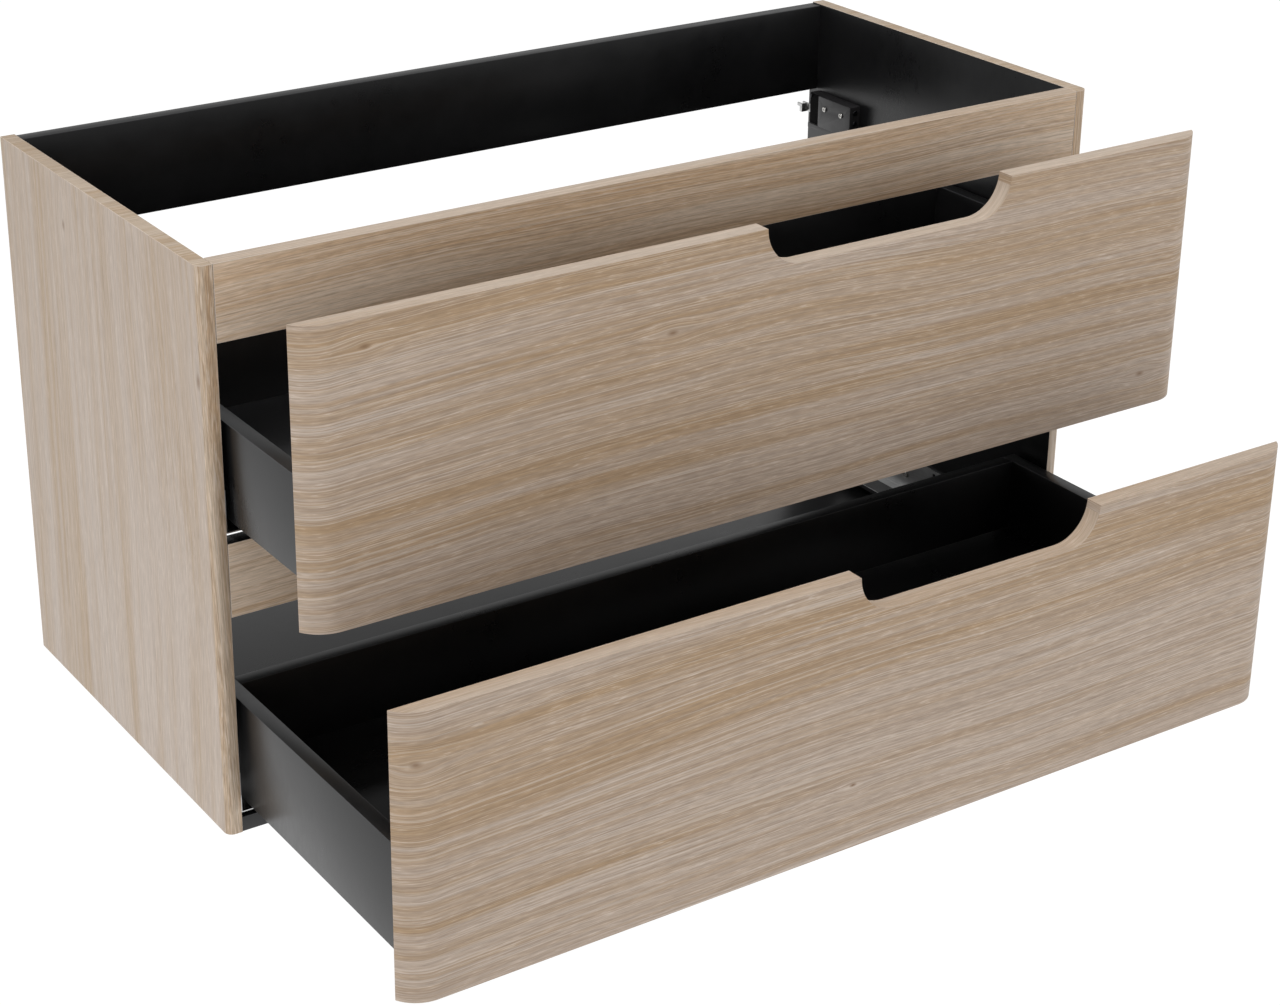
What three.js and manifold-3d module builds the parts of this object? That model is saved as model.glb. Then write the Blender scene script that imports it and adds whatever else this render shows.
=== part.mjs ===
// Wall-hung bathroom vanity cabinet, one metre wide, with two drawers on undermount runners.
// Millimetres, +Z up. -Y is the front, +Y points into the wall, and +X is to the right seen
// from the front. The origin is the middle of the back rail's rear face, which lies on the wall.
// The drawers stand open, the upper one by 150 mm and the lower one by 300 mm.

import * as THREE from 'three';
import Module from 'manifold-3d';
import { mergeVertices } from 'three/addons/utils/BufferGeometryUtils.js';

const wasm = await Module();
wasm.setup();

// ---------------------------------------------------------------- driving dimensions

const WIDTH = 1000;
const DEPTH = 440;
const HEIGHT = 554;
const BOARD = 15;              // carcass and drawer box boards
const RAIL_BOARD = 18;         // front and middle rails
const SEAM = 0.3;              // assembly gap between two pieces that touch
const NOSE_RADIUS = 8;         // rounded outer front edge of the side panels

const RAIL_HEIGHT = 72;
const MIDDLE_RAIL_BOTTOM = 221;
const BACK_RAIL_HEIGHT = 98;
const BACK_RAIL_DROP = 1.3;    // its top edge lies this far below the side panels' top edges

const FRONT_BOARD = 18;
const FRONT_HEIGHT = 274;
const FRONT_INSET = 6;         // each end of a front stops this far inside the cabinet's width
const FRONT_END_RADIUS = 36;   // the ends curve back over the full thickness
const FRONT_EDGE_RADIUS = 3.5; // top and bottom front edges
const LOWER_FRONT_BOTTOM = 0.5;
const UPPER_FRONT_BOTTOM = 277;
const CLOSED_GAP = 2.5;        // behind a closed front

const GRIP_WIDTH = 280;        // finger cut-out in a front's top edge
const GRIP_DEPTH = 38;
const GRIP_CENTRE_X = 107;     // it sits right of the middle

const UPPER_OPEN = 150;
const LOWER_OPEN = 300;

const BOX_LENGTH = 350;
const BOX_SIDE_GAP = 5.4;      // between a drawer side and the cabinet side
const BOX_BOTTOM_BOARD = 12;
const BOX_RECESS = 12.5;       // room for the runner under the drawer bottom
const UPPER_BOX = { bottom: 313, height: 94 };
const LOWER_BOX = { bottom: 30, height: 104 };

const STEEL = 1.2;             // runner sheet
const RUNNER_LENGTH = 340;
const RUNNER_SETBACK = 2;      // behind the cabinet's front edge
const RUNNER_BELOW_BOX = 10.5;
const RUNNER_FLANGE_HEIGHT = 42;
const RUNNER_FLANGE_WIDTH = 42;
const RUNNER_LIP = 6;
const RUNNER_SCREW_SETBACKS = [37, 229];   // from the cabinet's front edge
const RUNNER_SCREW_HEIGHT = 19.5;          // above the runner's underside
const RUNNER_SPARE_HOLES = [[69, 35.5], [180, 35.5], [261, 35.5]];

const HANGER_BOTTOM = 412;
const HANGER_HEIGHT = 41;
const HANGER_THICKNESS = 15;
const HANGER_BLOCK = [-95, -37];           // front and rear of the thick block, from the wall
const HANGER_TAIL_END = -18;
const HANGER_TAIL_THICKNESS = 12;
const HANGER_FOOT = 5;                     // below the tail the block keeps its full thickness

const CURVE_STEPS = 6;         // points on a quarter of a rounded outline, halved
const ROUND_SIDES = 20;        // sides of screws, bumpers and holes

// ---------------------------------------------------------------- places worked out from them

const INNER_X = WIDTH / 2 - BOARD;         // inner face of a side panel
const BACK_RAIL_TOP = HEIGHT - BACK_RAIL_DROP;
const BACK_RAIL_MIDDLE = BACK_RAIL_TOP - BACK_RAIL_HEIGHT / 2;
const CLOSED_BACK_Y = -DEPTH - CLOSED_GAP; // rear face of a closed front

// ---------------------------------------------------------------- materials

function finish(color, roughness, metalness) {
  return new THREE.MeshStandardMaterial({ color, roughness, metalness });
}

const woodDecor = finish(0xb8a48d, 0.6, 0);
const blackMelamine = finish(0x232325, 0.55, 0);
const zincSteel = finish(0xb4b7bb, 0.38, 1);
const blackPlastic = finish(0x17181a, 0.5, 0);
const greyPlastic = finish(0x6f7378, 0.55, 0);
const softRubber = finish(0xcfd2d4, 0.7, 0);

// ---------------------------------------------------------------- helpers

// Inside this group z counts up from the cabinet's underside and y back to the wall at 0.
const cabinet = new THREE.Group();
cabinet.position.z = -BACK_RAIL_MIDDLE;

function place(name, geometry, material) {
  const mesh = new THREE.Mesh(geometry, material);
  mesh.name = name;
  cabinet.add(mesh);
}

function box([x0, x1], [y0, y1], [z0, z1]) {
  const geometry = new THREE.BoxGeometry(x1 - x0, y1 - y0, z1 - z0);
  return geometry.translate((x0 + x1) / 2, (y0 + y1) / 2, (z0 + z1) / 2);
}

const X_AXIS = new THREE.Vector3(1, 0, 0);
const Y_AXIS = new THREE.Vector3(0, 1, 0);
const Z_AXIS = new THREE.Vector3(0, 0, 1);
const BACKWARDS = new THREE.Vector3(0, -1, 0);

function extrude(outline, length) {
  const options = { depth: length, bevelEnabled: false, curveSegments: CURVE_STEPS };
  return new THREE.ExtrudeGeometry(outline, options);
}

// A plan outline (x, y) raised from z.
function extrudeUp(outline, z, height) {
  return extrude(outline, height).translate(0, 0, z);
}

// A front outline (x, z) from yRear towards the front.
function extrudeForward(outline, yRear, length) {
  const turn = new THREE.Matrix4().makeBasis(X_AXIS, Z_AXIS, BACKWARDS);
  return extrude(outline, length).applyMatrix4(turn).translate(0, yRear, 0);
}

// A side outline (y, z) from x to the right.
function extrudeRight(outline, x, length) {
  const turn = new THREE.Matrix4().makeBasis(Y_AXIS, Z_AXIS, X_AXIS);
  return extrude(outline, length).applyMatrix4(turn).translate(x, 0, 0);
}

function polygon(points) {
  return new THREE.Shape(points.map(([a, b]) => new THREE.Vector2(a, b)));
}

function toSolid(geometry) {
  const bare = geometry.clone();
  bare.deleteAttribute('normal');
  bare.deleteAttribute('uv');
  const merged = mergeVertices(bare);
  const vertProperties = new Float32Array(merged.attributes.position.array);
  const triVerts = new Uint32Array(merged.index.array);
  return new wasm.Manifold(new wasm.Mesh({ numProp: 3, vertProperties, triVerts }));
}

function toGeometry(solid) {
  const { vertProperties, triVerts } = solid.getMesh();
  const geometry = new THREE.BufferGeometry();
  geometry.setAttribute('position', new THREE.BufferAttribute(vertProperties, 3));
  geometry.setIndex(new THREE.BufferAttribute(triVerts, 1));
  geometry.computeVertexNormals();
  return geometry;
}

function cut(geometry, tools) {
  const solid = tools.reduce((body, tool) => body.subtract(toSolid(tool)), toSolid(geometry));
  return toGeometry(solid);
}

// A round bar or drill along X between two places.
function barAlongX(x0, x1, y, z, radius) {
  const bar = new THREE.CylinderGeometry(radius, radius, Math.abs(x1 - x0), ROUND_SIDES);
  return bar.rotateZ(Math.PI / 2).translate((x0 + x1) / 2, y, z);
}

// A turned piece whose profile (radius, height) starts at a head on the origin, with the shank
// along +Y, then aimed along a direction and moved to a place.
function turned(profile, direction, position) {
  const points = profile.map(([radius, height]) => new THREE.Vector2(radius, height));
  const geometry = new THREE.LatheGeometry(points, ROUND_SIDES);
  const aim = new THREE.Quaternion().setFromUnitVectors(Y_AXIS, direction);
  return geometry.applyQuaternion(aim).translate(...position);
}

const SIDES = [
  { label: 'left', outward: -1 },
  { label: 'right', outward: 1 },
];

// x of a place that lies so far in from a side panel's inner face.
function inFrom(outward, distance) {
  return outward * (INNER_X - distance);
}

function span(a, b) {
  return a < b ? [a, b] : [b, a];
}

// ---------------------------------------------------------------- screws

const PAN_HEAD = { radius: 4.3, height: 2.1, shank: 1.4 };
const FLAT_HEAD = { radius: 3, height: 1.2, shank: 1.4 };
const PILOT_RADIUS = 1.9;
const PILOT_DEPTH = 11;
const SCREW_BITE = 10;         // length of a screw inside a side panel
const CLEARANCE_RADIUS = 2.6;

// A screw whose head stands on a face, driven outwards into a side panel.
function woodScrew(outward, head, faceX, y, z) {
  const length = Math.abs(outward * INNER_X - faceX) + SCREW_BITE;
  const { radius, height, shank } = head;
  const profile = [
    [0, -height - SEAM], [radius * 0.62, -height - SEAM], [radius, -height * 0.45 - SEAM],
    [radius, -SEAM], [shank, -SEAM], [shank, length - 3], [0, length],
  ];
  return turned(profile, new THREE.Vector3(outward, 0, 0), [faceX, y, z]);
}

function pilotHole(outward, y, z) {
  const start = outward * (INNER_X - 1);
  const end = outward * (INNER_X + PILOT_DEPTH);
  return barAlongX(start, end, y, z, PILOT_RADIUS);
}

// ---------------------------------------------------------------- where the fittings are fixed

const RUNNER_LEVELS = {
  upper: UPPER_BOX.bottom - RUNNER_BELOW_BOX,
  lower: LOWER_BOX.bottom - RUNNER_BELOW_BOX,
};
const runnerScrewPlaces = Object.values(RUNNER_LEVELS).flatMap(
  (level) => RUNNER_SCREW_SETBACKS.map((setback) => [setback - DEPTH, level + RUNNER_SCREW_HEIGHT]),
);
const HANGER_SCREW_Z = 440;
const HANGER_SCREW_YS = [-79, -49];
const hangerScrewPlaces = HANGER_SCREW_YS.map((y) => [y, HANGER_SCREW_Z]);

// ---------------------------------------------------------------- carcass

function sidePanel(outward) {
  const outer = outward * WIDTH / 2;
  const inner = outward * INNER_X;
  const outline = new THREE.Shape();
  outline.moveTo(inner, 0);
  outline.lineTo(inner, -DEPTH);
  outline.lineTo(outer - outward * NOSE_RADIUS, -DEPTH);
  const arcX = outer - outward * NOSE_RADIUS;
  const arcEnd = outward > 0 ? 0 : Math.PI;
  outline.absarc(arcX, NOSE_RADIUS - DEPTH, NOSE_RADIUS, -Math.PI / 2, arcEnd, outward < 0);
  outline.lineTo(outer, 0);
  const holes = [...runnerScrewPlaces, ...hangerScrewPlaces];
  return cut(extrudeUp(outline, 0, HEIGHT), holes.map(([y, z]) => pilotHole(outward, y, z)));
}

for (const { label, outward } of SIDES) {
  place(`${label}_side_panel`, sidePanel(outward), woodDecor);
}

const BETWEEN_SIDES = [-INNER_X + SEAM, INNER_X - SEAM];
const railDepth = [-DEPTH, RAIL_BOARD - DEPTH];
const middleRailSpan = [MIDDLE_RAIL_BOTTOM, MIDDLE_RAIL_BOTTOM + RAIL_HEIGHT];
const backRailSpan = [BACK_RAIL_TOP - BACK_RAIL_HEIGHT, BACK_RAIL_TOP];
place('bottom_panel', box(BETWEEN_SIDES, [-DEPTH + 1, 0], [0, BOARD]), blackMelamine);
place('back_rail', box(BETWEEN_SIDES, [-BOARD, 0], backRailSpan), blackMelamine);
place('front_rail', box(BETWEEN_SIDES, railDepth, [HEIGHT - RAIL_HEIGHT, HEIGHT]), woodDecor);
place('middle_rail', box(BETWEEN_SIDES, railDepth, middleRailSpan), woodDecor);

// ---------------------------------------------------------------- drawer fronts

// Seen from above: flat face at y 0, ends curving back to sharp rear corners.
function frontPlan() {
  const half = WIDTH / 2 - FRONT_INSET;
  const drop = FRONT_END_RADIUS - FRONT_BOARD;
  const reach = Math.sqrt(FRONT_END_RADIUS ** 2 - drop ** 2);
  const rear = Math.atan2(drop, reach);
  const outline = new THREE.Shape();
  outline.moveTo(-half, FRONT_BOARD);
  outline.absarc(reach - half, FRONT_END_RADIUS, FRONT_END_RADIUS, Math.PI + rear, Math.PI * 1.5, false);
  outline.absarc(half - reach, FRONT_END_RADIUS, FRONT_END_RADIUS, Math.PI * 1.5, Math.PI * 2 - rear, false);
  return outline;
}

// Seen from the front: a rectangle with the finger cut-out, whose ends are quarter rounds.
function frontElevation() {
  const half = WIDTH / 2;
  const gripLeft = GRIP_CENTRE_X - GRIP_WIDTH / 2 + GRIP_DEPTH;
  const gripRight = GRIP_CENTRE_X + GRIP_WIDTH / 2 - GRIP_DEPTH;
  const outline = new THREE.Shape();
  outline.moveTo(-half, 0);
  outline.lineTo(half, 0);
  outline.lineTo(half, FRONT_HEIGHT);
  outline.absarc(gripRight, FRONT_HEIGHT, GRIP_DEPTH, 0, -Math.PI / 2, true);
  outline.absarc(gripLeft, FRONT_HEIGHT, GRIP_DEPTH, -Math.PI / 2, -Math.PI, true);
  outline.lineTo(-half, FRONT_HEIGHT);
  return outline;
}

// Seen from the end: the two long front edges are rounded.
function frontSection() {
  const r = FRONT_EDGE_RADIUS;
  const outline = new THREE.Shape();
  outline.absarc(r, r, r, Math.PI, Math.PI * 1.5, false);
  outline.lineTo(FRONT_BOARD, 0);
  outline.lineTo(FRONT_BOARD, FRONT_HEIGHT);
  outline.absarc(r, FRONT_HEIGHT - r, r, Math.PI / 2, Math.PI, false);
  return outline;
}

function drawerFront(faceY, z) {
  const raised = toSolid(extrudeUp(frontPlan(), 0, FRONT_HEIGHT));
  const cutOut = toSolid(extrudeForward(frontElevation(), FRONT_BOARD, FRONT_BOARD));
  const rounded = toSolid(extrudeRight(frontSection(), -WIDTH / 2, WIDTH));
  const solid = raised.intersect(cutOut).intersect(rounded);
  return toGeometry(solid.translate([0, faceY, z]));
}

// ---------------------------------------------------------------- drawers

const BUMPER = { radius: 3, height: 1.9, fromCentre: 488.3, aboveFrontBottom: 20 };

function drawer(label, open, boxSize, frontBottom) {
  const rearOfFront = CLOSED_BACK_Y - open;
  const boxFront = rearOfFront + SEAM;
  const boxRear = rearOfFront + BOX_LENGTH;
  const outerX = INNER_X - BOX_SIDE_GAP;
  const innerX = outerX - BOARD;
  const top = boxSize.bottom + boxSize.height;
  const underside = boxSize.bottom + BOX_RECESS;
  const floor = underside + BOX_BOTTOM_BOARD;
  const between = [-innerX + SEAM, innerX - SEAM];

  place(`${label}_drawer_front`, drawerFront(rearOfFront - FRONT_BOARD, frontBottom), woodDecor);
  place(`${label}_drawer_bottom`, box(between, [boxFront, boxRear], [underside, floor]), blackMelamine);
  place(`${label}_drawer_back`, box(between, [boxRear - BOARD, boxRear], [floor + SEAM, top]), blackMelamine);
  for (const { label: side, outward } of SIDES) {
    const across = span(outward * innerX, outward * outerX);
    const board = box(across, [boxFront, boxRear], [boxSize.bottom, top]);
    place(`${label}_drawer_${side}_side`, board, blackMelamine);

    const profile = [
      [0, SEAM], [BUMPER.radius, SEAM], [BUMPER.radius * 0.85, BUMPER.height], [0, BUMPER.height],
    ];
    const spot = [outward * BUMPER.fromCentre, rearOfFront, frontBottom + BUMPER.aboveFrontBottom];
    place(`${label}_${side}_bumper`, turned(profile, Y_AXIS, spot), softRubber);
  }
}

drawer('upper', UPPER_OPEN, UPPER_BOX, UPPER_FRONT_BOTTOM);
drawer('lower', LOWER_OPEN, LOWER_BOX, LOWER_FRONT_BOTTOM);

// ---------------------------------------------------------------- undermount runners

const MIDDLE_MEMBER = { from: 24, to: 36, below: 8.5, above: 9, length: 330, setback: 10 };
const DRAWER_MEMBER = { from: 21, to: 39, below: 1, above: 12.2, length: 345, setback: 2 };

// Front outline of a U-shaped channel; it opens upwards, or downwards when turned over.
function channelOutline(outward, member, boxBottom, openUp) {
  const z0 = boxBottom - member.below;
  const z1 = boxBottom + member.above;
  const web = openUp ? z0 : z1;
  const tip = openUp ? z1 : z0;
  const webInside = openUp ? z0 + STEEL : z1 - STEEL;
  return polygon([
    [inFrom(outward, member.from), web], [inFrom(outward, member.from), tip],
    [inFrom(outward, member.from + STEEL), tip], [inFrom(outward, member.from + STEEL), webInside],
    [inFrom(outward, member.to - STEEL), webInside], [inFrom(outward, member.to - STEEL), tip],
    [inFrom(outward, member.to), tip], [inFrom(outward, member.to), web],
  ]);
}

// The cabinet member: a tall flange on the side panel, a shelf under the drawer and a lip.
function cabinetMember(outward, level) {
  const wide = SEAM + RUNNER_FLANGE_WIDTH;
  const outline = polygon([
    [inFrom(outward, SEAM), level], [inFrom(outward, wide), level],
    [inFrom(outward, wide), level + RUNNER_LIP], [inFrom(outward, wide - STEEL), level + RUNNER_LIP],
    [inFrom(outward, wide - STEEL), level + STEEL], [inFrom(outward, SEAM + STEEL), level + STEEL],
    [inFrom(outward, SEAM + STEEL), level + RUNNER_FLANGE_HEIGHT],
    [inFrom(outward, SEAM), level + RUNNER_FLANGE_HEIGHT],
  ]);
  const rear = RUNNER_LENGTH + RUNNER_SETBACK - DEPTH;
  const screwHoles = RUNNER_SCREW_SETBACKS.map((setback) => [setback, RUNNER_SCREW_HEIGHT]);
  const holes = [...screwHoles, ...RUNNER_SPARE_HOLES].map(([setback, height]) => barAlongX(
    inFrom(outward, -SEAM), inFrom(outward, STEEL + 2 * SEAM), setback - DEPTH, level + height,
    CLEARANCE_RADIUS,
  ));
  return cut(extrudeForward(outline, rear, RUNNER_LENGTH), holes);
}

function slidingMember(outward, member, boxBottom, openUp, open) {
  const front = CLOSED_BACK_Y + member.setback - open;
  const outline = channelOutline(outward, member, boxBottom, openUp);
  return extrudeForward(outline, front + member.length, member.length);
}

// The clip that locks a drawer to its runner, and the lever that frees it.
const CLIP = { from: 40, to: 62, front: 3, rear: 50, bottom: 3.8, top: 12.2 };
const LEVER = { pivotIn: 50, pivotBack: 40, bottom: 0.6, thickness: 2.8 };

function clipHousing(outward, rearOfFront, boxBottom) {
  const outline = polygon([
    [inFrom(outward, CLIP.from), rearOfFront + CLIP.front],
    [inFrom(outward, CLIP.to - 8), rearOfFront + CLIP.front],
    [inFrom(outward, CLIP.to), rearOfFront + CLIP.front + 8],
    [inFrom(outward, CLIP.to), rearOfFront + CLIP.rear - 12],
    [inFrom(outward, CLIP.to - 6), rearOfFront + CLIP.rear],
    [inFrom(outward, CLIP.from), rearOfFront + CLIP.rear],
  ]);
  return extrudeUp(outline, boxBottom + CLIP.bottom, CLIP.top - CLIP.bottom);
}

function releaseLever(outward, rearOfFront, boxBottom) {
  const x = inFrom(outward, LEVER.pivotIn);
  const y = rearOfFront + LEVER.pivotBack;
  const inward = -outward;
  const outline = new THREE.Shape();
  outline.moveTo(x + inward * 5, y);
  outline.absarc(x, y, 5, outward > 0 ? Math.PI : 0, outward > 0 ? 0 : Math.PI, outward > 0);
  outline.lineTo(x - inward * 4, y - 30);
  outline.lineTo(x + inward * 12, y - 34);
  outline.lineTo(x + inward * 16, y - 28);
  outline.lineTo(x + inward * 14, y - 16);
  outline.lineTo(x + inward * 6, y - 12);
  return extrudeUp(outline, boxBottom + LEVER.bottom, LEVER.thickness);
}

function runnerPair(label, open, boxSize) {
  const level = RUNNER_LEVELS[label];
  const rearOfFront = CLOSED_BACK_Y - open;
  for (const { label: side, outward } of SIDES) {
    const name = `${label}_${side}`;
    const middle = slidingMember(outward, MIDDLE_MEMBER, boxSize.bottom, true, open / 2);
    const carried = slidingMember(outward, DRAWER_MEMBER, boxSize.bottom, false, open);
    place(`${name}_cabinet_runner`, cabinetMember(outward, level), zincSteel);
    place(`${name}_middle_runner`, middle, zincSteel);
    place(`${name}_drawer_runner`, carried, zincSteel);
    place(`${name}_lock_clip`, clipHousing(outward, rearOfFront, boxSize.bottom), greyPlastic);
    place(`${name}_release_lever`, releaseLever(outward, rearOfFront, boxSize.bottom), greyPlastic);
    RUNNER_SCREW_SETBACKS.forEach((setback, index) => {
      const z = level + RUNNER_SCREW_HEIGHT;
      const screw = woodScrew(outward, PAN_HEAD, inFrom(outward, SEAM + STEEL), setback - DEPTH, z);
      place(`${name}_runner_screw_${index + 1}`, screw, zincSteel);
    });
  }
}

runnerPair('upper', UPPER_OPEN, UPPER_BOX);
runnerPair('lower', LOWER_OPEN, LOWER_BOX);

// ---------------------------------------------------------------- wall hangers

// The hook is a U of bent sheet behind the wall plane; both cheeks are notched from below.
const HOOK = { bottom: 424, height: 10, reach: 9, width: 9.5, sheet: 2, notchFront: 4.5, notchHeight: 6 };
const ADJUSTER = { radius: 3, proud: 0.8, stem: 2, length: 8, heights: [433, 446] };
const ADJUSTER_X_IN = 7.5;

function hangerHousing(outward) {
  const [front, rear] = HANGER_BLOCK;
  const across = span(inFrom(outward, SEAM), inFrom(outward, HANGER_THICKNESS));
  const whole = box(across, [front, HANGER_TAIL_END], [HANGER_BOTTOM, HANGER_BOTTOM + HANGER_HEIGHT]);
  const recess = box(
    span(inFrom(outward, HANGER_TAIL_THICKNESS), inFrom(outward, HANGER_THICKNESS + 1)),
    [rear, HANGER_TAIL_END + 1],
    [HANGER_BOTTOM + HANGER_FOOT, HANGER_BOTTOM + HANGER_HEIGHT + 1],
  );
  const screwHoles = hangerScrewPlaces.map(([y, z]) => barAlongX(
    inFrom(outward, -1), inFrom(outward, HANGER_THICKNESS + 1), y, z, CLEARANCE_RADIUS,
  ));
  const sockets = ADJUSTER.heights.map((z) => {
    const hole = new THREE.CylinderGeometry(CLEARANCE_RADIUS, CLEARANCE_RADIUS, 20, ROUND_SIDES);
    return hole.translate(inFrom(outward, ADJUSTER_X_IN), front, z);
  });
  return cut(whole, [recess, ...screwHoles, ...sockets]);
}

function hookCheek(x, start) {
  const { bottom, height, reach, sheet, notchFront, notchHeight } = HOOK;
  const outline = polygon([
    [start, bottom], [notchFront, bottom], [notchFront, bottom + notchHeight],
    [reach, bottom + notchHeight], [reach, bottom + height], [start, bottom + height],
  ]);
  return toSolid(extrudeRight(outline, x, sheet));
}

// The cheek next to the side panel runs forward as the neck that enters the housing's tail.
function hangerHook(outward) {
  const { bottom, height, width, sheet } = HOOK;
  const [low, high] = span(inFrom(outward, SEAM), inFrom(outward, SEAM + width));
  const neckStart = HANGER_TAIL_END + SEAM;
  const plate = toSolid(box([low, high], [0, sheet], [bottom, bottom + height]));
  const lowCheek = hookCheek(low, outward > 0 ? 0 : neckStart);
  const highCheek = hookCheek(high - sheet, outward > 0 ? neckStart : 0);
  return toGeometry(plate.add(lowCheek).add(highCheek));
}

function adjusterScrew(outward, z) {
  const { radius, proud, stem, length } = ADJUSTER;
  const profile = [
    [0, -proud - SEAM], [radius * 0.8, -proud - SEAM], [radius, -proud * 0.7 - SEAM],
    [radius, -SEAM], [stem, -SEAM], [stem, length], [0, length],
  ];
  return turned(profile, Y_AXIS, [inFrom(outward, ADJUSTER_X_IN), HANGER_BLOCK[0], z]);
}

for (const { label, outward } of SIDES) {
  place(`${label}_hanger_housing`, hangerHousing(outward), blackPlastic);
  place(`${label}_hanger_hook`, hangerHook(outward), zincSteel);
  hangerScrewPlaces.forEach(([y, z], index) => {
    const screw = woodScrew(outward, FLAT_HEAD, inFrom(outward, HANGER_THICKNESS), y, z);
    place(`${label}_hanger_screw_${index + 1}`, screw, zincSteel);
  });
  ['depth', 'height'].forEach((kind, index) => {
    const screw = adjusterScrew(outward, ADJUSTER.heights[index]);
    place(`${label}_hanger_${kind}_adjuster`, screw, zincSteel);
  });
}

export default cabinet;
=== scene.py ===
# %% [markdown]
# # A wall-hung bathroom vanity cabinet
# The cabinet has a shell of thin boards, two drawers on steel runners and two wall hangers at the
# top of its back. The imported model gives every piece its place, so it is loaded first and nothing
# in it is moved. Each board and fitting is then modelled again with the small edges, bends and
# holes that make it look real.

# %% Load the frame
import math
import bmesh
import bpy
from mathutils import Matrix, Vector


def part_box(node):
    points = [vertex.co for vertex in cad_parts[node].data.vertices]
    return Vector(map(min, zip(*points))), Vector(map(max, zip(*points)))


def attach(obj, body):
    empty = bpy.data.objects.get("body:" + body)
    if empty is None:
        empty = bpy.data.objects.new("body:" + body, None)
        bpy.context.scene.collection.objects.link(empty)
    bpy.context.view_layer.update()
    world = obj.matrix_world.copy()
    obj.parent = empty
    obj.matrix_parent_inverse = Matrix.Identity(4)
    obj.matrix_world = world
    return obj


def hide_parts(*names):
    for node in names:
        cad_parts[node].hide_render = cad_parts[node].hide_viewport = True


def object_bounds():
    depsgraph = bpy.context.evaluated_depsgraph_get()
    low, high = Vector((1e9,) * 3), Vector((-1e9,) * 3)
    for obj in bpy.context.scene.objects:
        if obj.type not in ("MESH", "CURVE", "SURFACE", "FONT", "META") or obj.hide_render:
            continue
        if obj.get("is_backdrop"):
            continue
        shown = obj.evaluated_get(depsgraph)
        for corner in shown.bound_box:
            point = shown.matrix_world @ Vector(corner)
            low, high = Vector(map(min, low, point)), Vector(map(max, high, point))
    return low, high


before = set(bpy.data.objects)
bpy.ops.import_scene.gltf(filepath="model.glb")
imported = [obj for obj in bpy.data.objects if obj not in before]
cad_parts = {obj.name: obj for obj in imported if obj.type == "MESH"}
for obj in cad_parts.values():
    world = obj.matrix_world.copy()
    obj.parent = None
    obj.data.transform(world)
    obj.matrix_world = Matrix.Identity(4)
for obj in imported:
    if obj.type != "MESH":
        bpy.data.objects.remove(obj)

cad_box = [list(corner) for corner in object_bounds()]
MM = 0.001
print("size of the frame in mm:", [round((b - a) / MM) for a, b in zip(*cad_box)])

# %% [markdown]
# ## Camera
# A long lens seen from the front left and from above keeps the cabinet's upright edges nearly
# parallel. The lens is shifted instead of the camera being turned, so that the cabinet sits in the
# middle of the picture.

# %% Camera
CAMERA_PLACE = (-1.35397, -2.34327, 0.79424)
turn_right, look_down = math.radians(32.402), math.radians(23.005)
bpy.ops.object.select_all(action="DESELECT")
bpy.ops.object.camera_add(
    location=CAMERA_PLACE,
    rotation=(math.pi / 2 - look_down, 0, -turn_right),
)
camera = bpy.context.object
camera.name = "studio_camera"
camera.data.lens = 73.8796
camera.data.sensor_width = 36
camera.data.shift_x, camera.data.shift_y = 0.06695, -0.06950
camera.data.clip_end = 60
bpy.context.scene.camera = camera
print("lens", camera.data.lens, "mm")

# %% [markdown]
# ## Studio
# The cabinet hangs free in a white studio. A bright world gives soft light from everywhere, and
# three large lamps add a direction: the key from the left and above, a weaker one from the front,
# and a top light for the upper edges. The floor lies well below the cabinet and glows a little,
# so that it stays white and takes no hard shadow.

# %% Floor, world and lamps
FLOOR_BELOW, FLOOR_SIZE, FLOOR_GLOW = 0.55, 40, 0.96
WORLD_LIGHT = 0.52
bpy.ops.mesh.primitive_plane_add(size=FLOOR_SIZE, location=(0, 0, cad_box[0][2] - FLOOR_BELOW))
floor = bpy.context.object
floor.name = "studio_floor"
floor_paint = bpy.data.materials.new("studio_floor_paint")
floor_paint.use_nodes = True
floor_shader = floor_paint.node_tree.nodes["Principled BSDF"]
floor_shader.inputs["Base Color"].default_value = (0.1, 0.1, 0.1, 1)
floor_shader.inputs["Roughness"].default_value = 0.9
floor_shader.inputs["Emission Color"].default_value = (1, 1, 1, 1)
floor_shader.inputs["Emission Strength"].default_value = FLOOR_GLOW
floor.data.materials.append(floor_paint)
bpy.ops.object.transform_apply(location=True, rotation=True, scale=True)
floor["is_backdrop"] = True

world = bpy.data.worlds.new("studio_world")
world.use_nodes = True
world.node_tree.nodes["Background"].inputs["Color"].default_value = (1, 1, 1, 1)
world.node_tree.nodes["Background"].inputs["Strength"].default_value = WORLD_LIGHT
bpy.context.scene.world = world
bpy.context.scene.view_settings.view_transform = "Standard"


def soft_lamp(name, place, aim, size, power):
    """A square lamp whose light leaves along the line from place to aim."""
    bpy.ops.object.light_add(type="AREA", location=place)
    lamp = bpy.context.object
    lamp.name = name
    lamp.data.size = size
    lamp.data.energy = power
    lamp.rotation_euler = (Vector(aim) - Vector(place)).to_track_quat("-Z", "Y").to_euler()


soft_lamp("key_lamp", (-4.0, -1.0, 1.6), (0, -0.3, 0), 2.2, 34)
soft_lamp("front_lamp", (2.8, -3.4, 2.2), (0.2, -0.4, 0.0), 2.4, 12)
soft_lamp("top_lamp", (0.2, -1.1, 3.2), (0, -0.4, 0), 2.0, 50)
print("three lamps")

# %% [markdown]
# ## Working by hand, in code
# A person at the screen clicks on a face and then uses a tool. Here the click is a test on the
# middle and the normal of each face, or on the middle and the direction of each edge. These few
# helpers enter edit mode, select by such a test, and add a modifier and apply it.

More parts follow.
